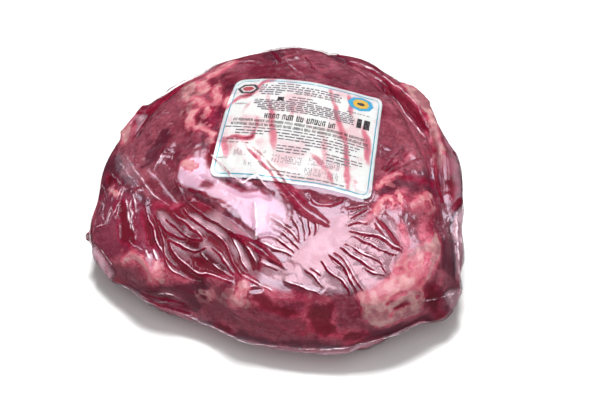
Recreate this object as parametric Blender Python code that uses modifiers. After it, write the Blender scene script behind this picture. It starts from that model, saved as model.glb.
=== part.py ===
"""A raw heart of rump, shrunk tight into a clear vacuum bag with a paper label inside it.

The sealed pack is one solid: the cut of meat and the film that clings to it. The label is a thin sheet
that follows the top of the pack. Everything rests on z = 0, with +X to the right, +Y to the back and the
label facing up and a little forward.
"""

import math

import bmesh
import bpy
from mathutils import Euler, Vector, noise

MM = 0.001

# The cut seen from above, all round it. Each row is one bearing (0 is right, 90 is back): how far the side
# reaches from the centre, how high its widest place lies, and how square its upper shoulder is (2 is round).
SIDES = (
    # bearing, reach, widest height (mm), shoulder
    (0, 111, 50, 2.6),
    (30, 112, 55, 2.6),
    (60, 118, 56, 2.5),
    (90, 120, 54, 2.5),
    (120, 115, 50, 2.4),
    (150, 114, 44, 2.3),
    (180, 117, 34, 2.2),
    (210, 106, 28, 2.3),
    (240, 91, 26, 2.8),
    (270, 96, 27, 3.0),
    (300, 112, 28, 3.0),
    (330, 122, 32, 2.9),
)
BEARING, REACH, WIDEST, SHOULDER = range(4)

# The upper face is a slab that falls away from its crest: drop in mm, over how many mm, and how late.
TOP_HEIGHT = 107
CREST_X = 24
CREST_Y = 34
FRONT_FALL = (42, 130, 1.5)
BACK_FALL = (16, 85, 2.0)
LEFT_FALL = (34, 140, 1.8)
RIGHT_FALL = (16, 95, 2.0)

# Below its widest place the cut curves in a little and settles on a flat foot.
UNDERSIDE_ROUND = 2.4
SAG = 1.6

# The skin is a cube's grid blown up to a ball. Drawing it upwards gives the shown side the finer faces.
GRID_CUTS = 27
DRAWN_UP = 0.3

# Swellings and hollows: bearing and lift in degrees, radius and rise in mm.
LUMPS = {
    "fat knob, front left": (214, 26, 20, 7),
    "fat knob, front middle": (254, 30, 13, 4),
    "fat knob, right": (339, 49, 12, 5),
    "fat cap over the front right corner": (312, 38, 34, 5),
    "muscle end, front right foot": (329, 6, 24, 6),
    "muscle on the upper front": (300, 62, 26, 3),
    "muscle on the back": (80, 40, 30, 4),
    "muscle on the back left": (138, 30, 20, 3),
    "muscle on the left": (184, 36, 20, 4),
    "muscle end, left tip": (192, 6, 22, 5),
    "muscle on the back right": (58, 20, 26, 4),
    "fat on the underside edge, back": (110, 2, 26, 4),
    "hollow in the front face": (286, 24, 14, -5),
    "hollow under the front left": (238, 4, 16, -5),
    "hollow beside the front left knob": (228, 36, 13, -4),
    "hollow on the left": (176, 14, 15, -4),
    "hollow behind the label": (96, 52, 16, -3),
    "hollow in the back face": (75, 8, 20, -4),
    "hollow on the right side": (352, 10, 16, -4),
}

# Long ridges and grooves: where they run (bearing and lift), half their width and their rise in mm.
FOLDS = {
    "taut film over the right shoulder": (((72, 45), (39, 49), (14, 45), (355, 40), (342, 40)), 6, 3.5),
    "groove behind the taut film": (((48, 42), (23, 38), (3, 34), (351, 33)), 6, -4),
    "gathered bag end, right": (((46, 36), (36, 29), (27, 22), (8, 22), (352, 18), (338, 8)), 8, 7),
    "gathered bag end, left": (((140, 22), (156, 8), (172, 0), (188, -4), (203, -6)), 8, 4),
    "overhanging edge, back left": (((100, 46), (120, 41), (136, 36)), 6, 3),
    "crease down the left": (((182, 50), (205, 54), (233, 48)), 5, -3),
    "first long pleat": (((202, 62), (242, 56), (266, 48)), 4.5, 3),
    "second long pleat": (((206, 52), (234, 46), (261, 39)), 4.5, 3),
    "third long pleat": (((212, 42), (229, 36), (253, 33)), 4.5, 2.5),
    "seam between two muscles, front": (((232, 24), (252, 14), (280, 10)), 5, -3),
    "seam between two muscles, back": (((60, 44), (75, 30), (100, 22), (130, 18)), 7, -3),
    "gather across the back": (((40, 8), (62, 14), (88, 10), (112, 16)), 6, 3),
    "side crease of the bag, front": (((206, -12), (232, -14), (262, -14), (292, -14), (322, -14)), 6, 2.5),
}
UNEVEN_RISE = 1.3
UNEVEN_SPACING = 23

# The label is a paper sheet with round corners, lying on top, turned and tilted towards the front.
LABEL_WIDTH = 102
LABEL_HEIGHT = 78
LABEL_CORNER = 6
LABEL_THICKNESS = 0.4
LABEL_GAP = 0.7
LABEL_CENTRE = (16, -9)
LABEL_TURN = -12
LABEL_TILT = 14
LABEL_COLUMNS = 22
LABEL_ROWS = 16


def clear_scene():
    for thing in list(bpy.data.objects):
        bpy.data.objects.remove(thing)


def plain_material(name, colour, roughness):
    made = bpy.data.materials.new(name)
    made.use_nodes = True
    shader = made.node_tree.nodes["Principled BSDF"]
    shader.inputs["Base Color"].default_value = (*colour, 1)
    shader.inputs["Roughness"].default_value = roughness
    shader.inputs["Metallic"].default_value = 0
    return made


def add_object(name, mesh, material, collection):
    made = bpy.data.objects.new(name, mesh)
    mesh.materials.append(material)
    collection.objects.link(made)
    return made


def side_value(column, bearing):
    """One column of SIDES at any bearing, on a smooth curve through its rows."""
    step = 360 / len(SIDES)
    place = (bearing % 360) / step
    row = int(place)
    part = place - row
    before, start, end, after = (SIDES[(row + k) % len(SIDES)][column] for k in (-1, 0, 1, 2))
    bend = 2 * before - 5 * start + 4 * end - after + part * (3 * (start - end) + after - before)
    return start + 0.5 * part * (end - before + part * bend)


def fall(distance, slope):
    drop, over, power = slope
    return drop * (max(distance, 0) / over) ** power


def roof_height(x, y):
    """Height of the slab that the upper face follows."""
    return (
        TOP_HEIGHT
        - fall(CREST_Y - y, FRONT_FALL)
        - fall(y - CREST_Y, BACK_FALL)
        - fall(CREST_X - x, LEFT_FALL)
        - fall(x - CREST_X, RIGHT_FALL)
    )


def smooth_form(heading):
    """Where a line out of the pack along this heading leaves it, in mm, before its lumps and folds."""
    bearing = math.degrees(math.atan2(heading.y, heading.x))
    out, up = math.hypot(heading.x, heading.y), heading.z
    power = side_value(SHOULDER, bearing) if up >= 0 else UNDERSIDE_ROUND
    stretch = (out**power + abs(up) ** power) ** (-1 / power)
    reach = out * stretch * side_value(REACH, bearing)
    x = reach * math.cos(math.radians(bearing))
    y = reach * math.sin(math.radians(bearing))
    widest = side_value(WIDEST, bearing)
    room = roof_height(x, y) - widest if up >= 0 else widest * SAG
    return Vector((x, y, max(widest + room * up * stretch, 0)))


def spot(bearing, lift):
    """A place on the smooth form, from its bearing and its lift above the widest place, in degrees."""
    turn, rise = math.radians(bearing), math.radians(lift)
    level = math.cos(rise)
    return smooth_form(Vector((level * math.cos(turn), level * math.sin(turn), math.sin(rise))))


def distance_to_line(point, corners):
    """Shortest distance to a run of straight pieces, and how far along it that is, from 0 to 1."""
    best, where = math.inf, 0
    pieces = len(corners) - 1
    for k in range(pieces):
        along = corners[k + 1] - corners[k]
        part = min(max((point - corners[k]).dot(along) / along.length_squared, 0), 1)
        gap = (point - corners[k] - along * part).length
        if gap < best:
            best, where = gap, (k + part) / pieces
    return best, where


def relief(point, lumps, folds):
    """How far the lumps, folds and unevenness push the smooth form out at this point, in mm."""
    rise = UNEVEN_RISE * noise.noise(point / UNEVEN_SPACING)
    for centre, radius, height in lumps:
        rise += height * math.exp(-((point - centre).length / radius) ** 2)
    for corners, half_width, height in folds:
        gap, where = distance_to_line(point, corners)
        taper = math.sin(math.pi * (0.12 + 0.76 * where)) ** 0.5
        rise += height * taper * math.exp(-((gap / half_width) ** 2))
    return rise


def centre_on_origin(skin):
    """Moves the skin level, so that its box is centred over the origin."""
    across = [vertex.co.x for vertex in skin.verts]
    deep = [vertex.co.y for vertex in skin.verts]
    middle = Vector((min(across) + max(across), min(deep) + max(deep), 0)) / 2
    bmesh.ops.translate(skin, vec=-middle, verts=skin.verts)


def build_pack(collection):
    """The meat and its clinging film, as one closed skin with a flat foot."""
    skin = bmesh.new()
    bmesh.ops.create_cube(skin, size=2)
    bmesh.ops.subdivide_edges(skin, edges=skin.edges[:], cuts=GRID_CUTS, use_grid_fill=True)
    for vertex in skin.verts:
        even = [math.tan(c * math.pi / 4) for c in vertex.co]
        heading = Vector(even).normalized() + Vector((0, 0, DRAWN_UP))
        vertex.co = smooth_form(heading.normalized())
    bmesh.ops.recalc_face_normals(skin, faces=skin.faces[:])
    skin.normal_update()

    lumps = [(spot(bearing, lift), radius, rise) for bearing, lift, radius, rise in LUMPS.values()]
    folds = [([spot(*corner) for corner in run], width, rise) for run, width, rise in FOLDS.values()]
    for vertex in skin.verts:
        rise = relief(vertex.co, lumps, folds)
        on_foot = vertex.co.z <= 0
        vertex.co += vertex.normal * rise
        vertex.co.z = 0 if on_foot else max(vertex.co.z, 0)
    centre_on_origin(skin)
    bmesh.ops.scale(skin, vec=(MM, MM, MM), verts=skin.verts)

    mesh = bpy.data.meshes.new("sealed_pack")
    skin.to_mesh(mesh)
    skin.free()
    mesh.shade_smooth()
    meat = plain_material("meat under film", (0.26, 0.045, 0.065), 0.2)
    return add_object("sealed_pack", mesh, meat, collection)


def round_corners(x, y):
    """Moves a point of the square-cornered sheet so that its corners come out round."""
    inner_x = LABEL_WIDTH / 2 - LABEL_CORNER
    inner_y = LABEL_HEIGHT / 2 - LABEL_CORNER
    a, b = (abs(x) - inner_x) / LABEL_CORNER, (abs(y) - inner_y) / LABEL_CORNER
    if a <= 0 or b <= 0:
        return x, y
    round_x = inner_x + LABEL_CORNER * a * math.sqrt(1 - b * b / 2)
    round_y = inner_y + LABEL_CORNER * b * math.sqrt(1 - a * a / 2)
    return math.copysign(round_x, x), math.copysign(round_y, y)


def build_label(collection, pack):
    """The paper sheet, laid on the pack by Shrinkwrap and given its thickness by Solidify."""
    sheet = bmesh.new()
    bmesh.ops.create_grid(sheet, x_segments=LABEL_COLUMNS, y_segments=LABEL_ROWS, size=1)
    for vertex in sheet.verts:
        x, y = round_corners(vertex.co.x * LABEL_WIDTH / 2, vertex.co.y * LABEL_HEIGHT / 2)
        vertex.co = Vector((x, y, 0)) * MM
    mesh = bpy.data.meshes.new("label")
    sheet.to_mesh(mesh)
    sheet.free()

    paper = plain_material("label paper", (0.86, 0.88, 0.87), 0.5)
    label = add_object("label", mesh, paper, collection)
    label.location = Vector((*LABEL_CENTRE, TOP_HEIGHT + 20)) * MM
    label.rotation_euler = Euler((math.radians(LABEL_TILT), 0, math.radians(LABEL_TURN)))

    laid = label.modifiers.new("laid on the pack", "SHRINKWRAP")
    laid.target = pack
    laid.wrap_method = "PROJECT"
    laid.use_project_z = True
    laid.use_positive_direction = False
    laid.use_negative_direction = True
    laid.offset = LABEL_GAP * MM
    thick = label.modifiers.new("paper", "SOLIDIFY")
    thick.thickness = LABEL_THICKNESS * MM
    thick.offset = 1
    return label


def main():
    clear_scene()
    collection = bpy.data.collections.new("vacuum packed heart of rump")
    bpy.context.scene.collection.children.link(collection)
    pack = build_pack(collection)
    build_label(collection, pack)


main()
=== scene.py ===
"""A raw heart of rump in its clear shrink bag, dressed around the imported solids.

The sections follow the pack as it is put together: the stage, the skin that meat and film share, the cut of
meat, the paper label and its print, and the shrink film. Sizes are in millimetres unless a name says otherwise.
Places in the picture are pixels of a 600 x 400 frame seen through the camera, written "x,y x,y / x,y x,y" with
a slash between two runs.
"""

import math

import bmesh
import bpy
import numpy as np
from mathutils import Euler, Matrix, Vector, noise
from mathutils.bvhtree import BVHTree


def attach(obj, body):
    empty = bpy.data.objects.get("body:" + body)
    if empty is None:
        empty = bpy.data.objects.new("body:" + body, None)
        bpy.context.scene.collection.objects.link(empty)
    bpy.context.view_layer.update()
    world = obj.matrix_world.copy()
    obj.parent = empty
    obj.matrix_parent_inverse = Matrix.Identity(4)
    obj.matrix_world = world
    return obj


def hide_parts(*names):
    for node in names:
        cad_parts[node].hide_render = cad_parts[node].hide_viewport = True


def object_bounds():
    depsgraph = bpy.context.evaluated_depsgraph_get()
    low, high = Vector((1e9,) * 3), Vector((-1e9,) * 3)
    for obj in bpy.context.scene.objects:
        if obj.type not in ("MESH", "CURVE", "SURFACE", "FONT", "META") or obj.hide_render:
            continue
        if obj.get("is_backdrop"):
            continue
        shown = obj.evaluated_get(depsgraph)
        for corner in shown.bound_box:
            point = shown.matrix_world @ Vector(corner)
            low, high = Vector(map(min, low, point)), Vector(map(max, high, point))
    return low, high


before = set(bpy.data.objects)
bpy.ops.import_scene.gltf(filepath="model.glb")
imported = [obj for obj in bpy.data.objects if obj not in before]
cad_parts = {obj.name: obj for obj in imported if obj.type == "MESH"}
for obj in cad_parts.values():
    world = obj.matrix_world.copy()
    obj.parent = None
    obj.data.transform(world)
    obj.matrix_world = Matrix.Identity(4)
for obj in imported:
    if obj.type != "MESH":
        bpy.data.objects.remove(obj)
cad_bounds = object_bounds()

# Stage: a small white table in a dark studio, under one large soft box. Its reflection in the film is the broad
# pale sheen across the front of the pack. Behind the table stands a white wall that only the camera sees lit.

MM = 0.001
FRAME_WIDTH, FRAME_HEIGHT = 600, 400
LENS, SENSOR = 85, 36
VIEW_LIFT = math.radians(48)
VIEW_DISTANCE = 920
AIM = Vector((16.7, -10.9, 45))
VIEW_BACK = Vector((0, -math.cos(VIEW_LIFT), math.sin(VIEW_LIFT)))
EYE = AIM + VIEW_BACK * VIEW_DISTANCE


def linear(hex_colour):
    """An sRGB hex colour as the linear values that the shaders take."""
    shares = [int(hex_colour[i : i + 2], 16) / 255 for i in (1, 3, 5)]
    return tuple(s / 12.92 if s <= 0.04045 else ((s + 0.055) / 1.055) ** 2.4 for s in shares) + (1,)


def add_node(tree, kind, settings=(), *values, **inputs):
    """Adds a node with its settings, or with an operation alone, and gives back its outputs.

    Its inputs are set or linked, in their order or by name, with None for one that is left alone.
    """
    node = tree.nodes.new("ShaderNode" + kind)
    settings = {"operation": settings} if isinstance(settings, str) else dict(settings)
    for key, value in settings.items():
        setattr(node, key, value)
    by_name = [(key.replace("_", " "), value) for key, value in inputs.items()]
    for key, value in [*enumerate(values), *by_name]:
        if isinstance(value, bpy.types.NodeSocket):
            tree.links.new(value, node.inputs[key])
        elif value is not None:
            node.inputs[key].default_value = value
    return node.outputs


def new_material(name):
    """An empty node material and its tree."""
    material = bpy.data.materials.new(name)
    material.use_nodes = True
    material.node_tree.nodes.clear()
    return material, material.node_tree


def cover(tree, **inputs):
    """Ends a material's nodes in a principled shader with these inputs."""
    add_node(tree, "OutputMaterial", Surface=add_node(tree, "BsdfPrincipled", **inputs)[0])


def new_piece(name, mesh, *materials):
    piece = bpy.data.objects.new(name, mesh)
    bpy.context.scene.collection.objects.link(piece)
    for material in materials:
        mesh.materials.append(material)
    return piece


camera = bpy.data.objects.new("camera", bpy.data.cameras.new("camera"))
camera.data.lens, camera.data.sensor_width = LENS, SENSOR
camera.location = EYE * MM
camera.rotation_euler = (math.pi / 2 - VIEW_LIFT, 0, 0)
bpy.context.scene.collection.objects.link(camera)
bpy.context.scene.camera = camera
bpy.context.scene.view_settings.view_transform = "Standard"

# Each lamp: where it hangs, the place it faces (metres), its size (metres) and its power (watts). The crossed
# ones have a polarising sheet, crossed with the filter on the lens, so the film doesn't mirror them.
LAMPS = {
    "soft box overhead": ((0.03, -0.46, 1.00), (0, 0, 0.08), (1.25, 1.15), 7.0),
    "panel, upper left": ((-0.70, 0.18, 0.91), (0, 0, 0.08), (0.24, 0.24), 0.28),
    "panel, right": ((0.84, -0.06, 0.79), (0, 0, 0.08), (0.28, 0.28), 0.45),
    "dim wall, left": ((-1.05, 0.05, 0.50), (0, 0, 0.05), (1.00, 0.80), 0.12),
    "dim wall, right": ((1.10, 0.15, 0.50), (0, 0, 0.05), (1.00, 0.80), 0.15),
    "dim wall, behind": ((0.15, 1.10, 0.75), (0, 0, 0.05), (1.40, 0.80), 0.3),
    "crossed key, behind": ((0.00, 0.24, 1.40), (0, 0, 0.05), (0.34, 0.34), 42.0),
    "crossed fill, low in front": ((0.00, -1.30, 0.22), (0, 0, 0.05), (1.20, 0.35), 9.2),
}
for name, (place, target, size, power) in LAMPS.items():
    lamp = bpy.data.objects.new(name, bpy.data.lights.new(name, "AREA"))
    lamp.visible_glossy = not name.startswith("crossed")
    lamp.data.shape = "RECTANGLE"
    lamp.data.size, lamp.data.size_y = size
    lamp.data.energy = power
    lamp.location = place
    lamp.rotation_euler = (Vector(place) - Vector(target)).to_track_quat("Z", "Y").to_euler()
    bpy.context.scene.collection.objects.link(lamp)

ROOM_DARK = 0.015
TABLE_FRONT, TABLE_SIZE = -340, (2600, 2000)

world = bpy.data.worlds.new("studio")
world.use_nodes = True
tree = world.node_tree
room = tree.nodes["Background"]
room.inputs["Color"].default_value = linear("#ffffff")
seen = add_node(tree, "LightPath")["Is Camera Ray"]
lit = add_node(tree, "MapRange", Value=seen, To_Min=ROOM_DARK, To_Max=1.0)[0]
tree.links.new(lit, room.inputs["Strength"])
bpy.context.scene.world = world


def table_sheet(name, colour, lift=0.0):
    """The mesh and the matt material of a sheet of the table's size, this many mm above the floor."""
    table = bmesh.new()
    bmesh.ops.create_grid(table, x_segments=1, y_segments=1, size=0.5 * MM)
    bmesh.ops.scale(table, vec=TABLE_SIZE + (1,), verts=table.verts)
    bmesh.ops.translate(table, vec=(0, (TABLE_FRONT + TABLE_SIZE[1] / 2) * MM, lift * MM), verts=table.verts)
    mesh = bpy.data.meshes.new(name)
    table.to_mesh(mesh)
    table.free()
    matt, tree = new_material(name)
    cover(tree, Base_Color=linear(colour), Roughness=0.9)
    return mesh, matt


table_mesh, table_white = table_sheet("white table", "#dadada")
new_piece("white_table", table_mesh, table_white)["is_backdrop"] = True

# A polarising filter on the lens takes the table's mirror image out of the film. This dark sheet, which only
# mirrored light meets, stands for it.
FILTER_LIFT = 0.3

dark_sheet = new_piece("filtered_table", *table_sheet("table through the filter", "#1f1c1d", FILTER_LIFT))
for ray in ("camera", "diffuse", "shadow", "transmission", "volume_scatter"):
    setattr(dark_sheet, "visible_" + ray, False)
dark_sheet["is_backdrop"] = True


# Skin: the surface that the meat ends at and the film clings to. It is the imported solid, made smooth.
# The flat foot, which nothing sees, keeps only a few faces.

SKIN_LEVELS = 2
FOOT_HEIGHT, MERGE_GAP = 0.02, 0.01
JOIN_TURN, JOIN_SHAPE = math.radians(60), math.radians(70)
# Beside the outline, a line of sight is searched for the skin this far before and behind the aim, in these steps.
SIGHT_REACH, SIGHT_STEP = 150, 3
# The depth that a point far from a patch is given.
OUTSIDE = -99.0

merged = bmesh.new()
merged.from_mesh(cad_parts["sealed_pack"].data)
bmesh.ops.remove_doubles(merged, verts=merged.verts, dist=MERGE_GAP * MM)
bmesh.ops.join_triangles(
    merged, faces=merged.faces[:], angle_face_threshold=JOIN_TURN, angle_shape_threshold=JOIN_SHAPE
)
bmesh.ops.scale(merged, vec=(1 / MM, 1 / MM, 1 / MM), verts=merged.verts)
cage = new_piece("skin", bpy.data.meshes.new("skin"))
merged.to_mesh(cage.data)
merged.free()
rounding = cage.modifiers.new("smooth", "SUBSURF")
rounding.levels = rounding.render_levels = SKIN_LEVELS
skin = bmesh.new()
skin.from_object(cage, bpy.context.evaluated_depsgraph_get())
bpy.data.objects.remove(cage)
foot = [f for f in skin.faces if all(v.co.z < FOOT_HEIGHT for v in f.verts)]
bmesh.ops.dissolve_faces(skin, faces=foot)
bmesh.ops.triangulate(skin, faces=[f for f in skin.faces if len(f.verts) > 4])
skin.normal_update()
skin_tree = BVHTree.FromBMesh(skin)


def on_skin(pixel):
    """The place on the skin that the camera sees at a pixel, or the nearest to that line of sight."""
    side = (pixel[0] - FRAME_WIDTH / 2) * SENSOR / FRAME_WIDTH / LENS
    rise = (FRAME_HEIGHT / 2 - pixel[1]) * SENSOR / FRAME_WIDTH / LENS
    upright = Vector((1, 0, 0)).cross(-VIEW_BACK)
    sight = (-VIEW_BACK + Vector((1, 0, 0)) * side + upright * rise).normalized()
    hit = skin_tree.ray_cast(EYE, sight)[0]
    if hit is None:
        reach = range(VIEW_DISTANCE - SIGHT_REACH, VIEW_DISTANCE + SIGHT_REACH, SIGHT_STEP)
        hit = min((skin_tree.find_nearest(EYE + sight * d) for d in reach), key=lambda found: found[3])[0]
    return hit


def runs(text):
    """The runs of pixels in a text, each a list of (x, y)."""
    return [[tuple(map(int, spot.split(","))) for spot in run.split()] for run in text.split("/")]


def each_run(rows):
    """Every run in rows that end in a text, each behind its row's numbers."""
    return [(*numbers, run) for *numbers, text in rows for run in runs(text)]


def curve_through(pixels, closed=False, steps=4):
    """A smooth run of places on the skin through a few pixels."""
    corners = [Vector((x, y, 0)) for x, y in pixels]
    if closed:
        corners = corners[-1:] + corners + corners[:2]
    else:
        corners = [corners[0] * 2 - corners[1]] + corners + [corners[-1] * 2 - corners[-2]]
    run = []
    for before, start, end, after in zip(corners, corners[1:], corners[2:], corners[3:]):
        for k in range(steps):
            t = k / steps
            bend = 2 * before - 5 * start + 4 * end - after + t * (3 * (start - end) + after - before)
            run.append(start + 0.5 * t * (end - before + t * bend))
    if not closed:
        run.append(corners[-2])
    return np.array([on_skin(p) for p in run])


def line_gap(points, line):
    """How far each point lies from a line of straight pieces, and how far along the line that is, 0 to 1."""
    gap, along = np.full(len(points), np.inf), np.zeros(len(points))
    for k, (start, end) in enumerate(zip(line, line[1:])):
        piece = end - start
        share = np.clip((points - start) @ piece / max(piece @ piece, 1e-9), 0, 1)
        here = np.linalg.norm(points - start - share[:, None] * piece, axis=1)
        nearer = here < gap
        gap[nearer] = here[nearer]
        along[nearer] = (k + share[nearer]) / (len(line) - 1)
    return gap, along


def patch_depth(points, outline):
    """How deep each point lies inside an outline on the skin, in mm; outside it the depth is negative."""
    middle = outline.mean(0)
    spread = np.linalg.svd(outline - middle)[2]
    flat = (points - middle) @ spread[:2].T
    edge = (outline - middle) @ spread[:2].T
    far = np.abs((points - middle) @ spread[2])
    depth, inside = np.full(len(points), np.inf), np.zeros(len(points), bool)
    for start, end in zip(edge, np.roll(edge, -1, 0)):
        side = end - start
        share = np.clip((flat - start) @ side / max(side @ side, 1e-9), 0, 1)
        depth = np.minimum(depth, np.linalg.norm(flat - start - share[:, None] * side, axis=1))
        crosses = (start[1] > flat[:, 1]) != (end[1] > flat[:, 1])
        reach = start[0] + (flat[:, 1] - start[1]) * side[0] / (side[1] if side[1] else 1e-9)
        inside ^= crosses & (flat[:, 0] < reach)
    depth = np.where(inside, depth, -depth)
    return np.where(far < np.ptp(edge, 0).max() * 0.6 + 8, depth, OUTSIDE)


def depth_in(points, pixels):
    """How deep each point lies inside a smooth outline through some pixels."""
    return patch_depth(points, curve_through(pixels, closed=True, steps=3))


def deepest(points, patches):
    """For each point, how deep it lies inside the nearest of these patches, in mm."""
    depth = np.full(len(points), OUTSIDE)
    for text in patches.values():
        for outline in runs(text):
            depth = np.maximum(depth, depth_in(points, outline))
    return depth


def unevenness(points, size, seed=0):
    """Smooth noise, about -0.5 to 0.5, whose bumps are about this many mm across."""
    shift = Vector((seed * 17.3, seed * 5.1, seed * 9.7))
    return np.array([noise.noise(Vector(p) / size + shift) for p in points])


def ease(values, low, high):
    share = np.clip((values - low) / (high - low), 0, 1)
    return share * share * (3 - 2 * share)


def places(piece):
    """A bmesh's places and normals as arrays."""
    return np.array([v.co for v in piece.verts]), np.array([v.normal for v in piece.verts])


def finish_mesh(name, piece, spots, marks):
    """Moves the bmesh's points to spots, turns it into a mesh in metres, and stores marks on its points."""
    for vertex, spot in zip(piece.verts, spots):
        vertex.co = Vector(spot) * MM
    mesh = bpy.data.meshes.new(name)
    piece.to_mesh(mesh)
    piece.free()
    mesh.shade_smooth()
    for mark, values in marks.items():
        layer = mesh.attributes.new(mark, "FLOAT", "POINT")
        layer.data.foreach_set("value", np.asarray(values, np.float32))
    return mesh


# Meat: one boned muscle, trimmed with a knife, so fat and thin silver skin are left on it in patches. Under
# the film it is wet, and its own juice pools dark red in the hollows and along the pleats, partly painted shade.

MEAT_INSET = 0.1
FAT_THICKNESS = 0.5
MARK_REACH = 4

# What lies on the meat, as outlines grouped by place.
FAT_PATCHES = {
    "sheet over the front right corner":
        "435,232 440,246 439,257 434,266 428,279 422,287 425,297 419,313 410,316 394,323 381,328 372,324 366,319 "
        "363,310 360,300 357,295 363,291 372,288 387,278 394,271 392,267 398,259 403,252 412,250 422,245 430,241",
    "knobs at the front":
        "121,262 126,256 134,251 143,255 150,265 155,277 152,284 147,275 141,266 133,262 125,266 / 152,263 "
        "158,259 162,267 161,277 155,282 / 238,283 246,277 250,286 246,297 241,306 231,306 229,300 236,295 / "
        "207,292 213,288 215,295 210,299",
    "right of the label":
        "409,207 413,199 420,194 429,192 433,197 431,203 436,208 433,214 428,216 424,211 418,209 414,212 / "
        "386,199 381,210 371,221 363,223 373,209 380,199 / 374,187 384,177 398,171 403,174 390,180 380,188 / "
        "378,201 388,194 395,196 387,203",
    "top left":
        "183,99 186,87 192,79 197,84 192,94 188,101 / 196,84 204,81 210,86 206,93 199,91 / 212,87 219,87 221,95 "
        "215,99 211,94 / 190,97 198,97 206,101 212,107 203,108 196,104 / 187,125 188,116 193,110 201,108 197,114 "
        "194,120 197,125 207,128 203,132 193,129 / 213,96 220,92 222,100 215,105 / 200,127 210,129 217,134 "
        "211,138 / 205,77 213,71 224,64 233,60 237,62 228,68 217,75 209,79 / 223,100 230,96 231,104 225,108",
    "left":
        "179,166 186,158 195,160 199,166 190,172 / 107,190 114,186 120,192 116,199 / 122,142 121,134 124,126 "
        "131,110 136,104 144,107 138,113 133,122 130,132 128,143",
    "strip over the right shoulder":
        "401,86 410,84 421,88 430,97 433,106 436,119 438,131 440,146 442,158 442,168 438,172 434,168 432,150 "
        "430,131 427,119 422,109 415,102 408,94",
}
# Where fat and lean alternate in blotches of a few mm.
MARBLED = {
    "beside the label":
        "176,104 184,80 200,73 216,75 224,86 222,104 214,116 216,134 212,146 198,138 184,128 / 376,196 384,176 "
        "402,172 412,190 402,208 386,214 372,224",
    "front": "150,262 166,262 170,280 156,288 / 196,288 232,284 252,296 246,312 214,306 196,300",
}
# Fat that has turned grey and lets the meat show.
GREY_FAT = {
    "sheet over the corner":
        "358,302 366,304 376,303 388,302 396,296 408,292 418,292 428,298 420,316 394,326 381,331 368,324 360,312 "
        "/ 409,258 412,248 430,239 436,228 443,246 442,258 436,268 429,281 423,277 429,264 430,254 424,250 "
        "416,253",
    "strips at the edges":
        "399,84 410,82 423,86 432,97 440,131 446,174 442,180 434,178 431,156 429,131 420,109 406,94 / 118,146 "
        "120,126 130,106 138,100 148,106 134,124 130,146 / 181,100 184,86 192,78 197,84 190,98",
}
# Darker muscle, partly painted shade: beside the sheen, inside the shoulder, low on the base and on the sides.
DARK_MUSCLE_AND_SHADE = {
    "left":
        "97,190 112,184 128,190 146,192 156,208 162,232 166,252 158,262 146,254 130,250 118,258 104,262 96,246 "
        "93,220 / 100,170 108,156 118,156 124,172 134,186 120,186 104,188 / 140,160 152,146 164,128 172,132 "
        "162,150 150,168 / 205,118 220,108 222,122 216,150 206,152 200,138",
    "front":
        "196,197 211,202 229,214 245,228 261,246 254,250 238,238 220,224 202,210 / 112,280 130,286 150,288 "
        "176,292 200,300 196,316 160,309 124,294 / 150,288 176,282 210,284 206,300 176,300 156,298 / 200,316 "
        "240,330 290,340 340,342 340,350 280,348 220,334 190,320",
    "front right":
        "392,310 399,303 408,300 410,306 401,310 / 368,328 390,326 414,318 436,310 446,316 420,332 384,342 "
        "364,340 / 424,284 440,282 444,298 442,314 430,318 424,300",
    "right":
        "438,122 442,134 447,150 452,170 453,192 450,214 445,200 443,175 441,150 / 440,240 452,236 462,250 "
        "460,276 448,282 440,264 / 384,180 398,170 432,172 434,186 410,188 394,196 380,200 / 404,188 424,184 "
        "438,190 438,200 424,190 408,196 / 372,76 390,84 412,104 428,128 432,150 422,134 404,112 384,92",
    "top":
        "262,50 279,48 284,61 272,63 264,58 / 324,51 344,54 354,66 338,62 / 222,88 250,78 290,76 330,78 366,86 "
        "350,84 310,80 262,82",
}
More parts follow.
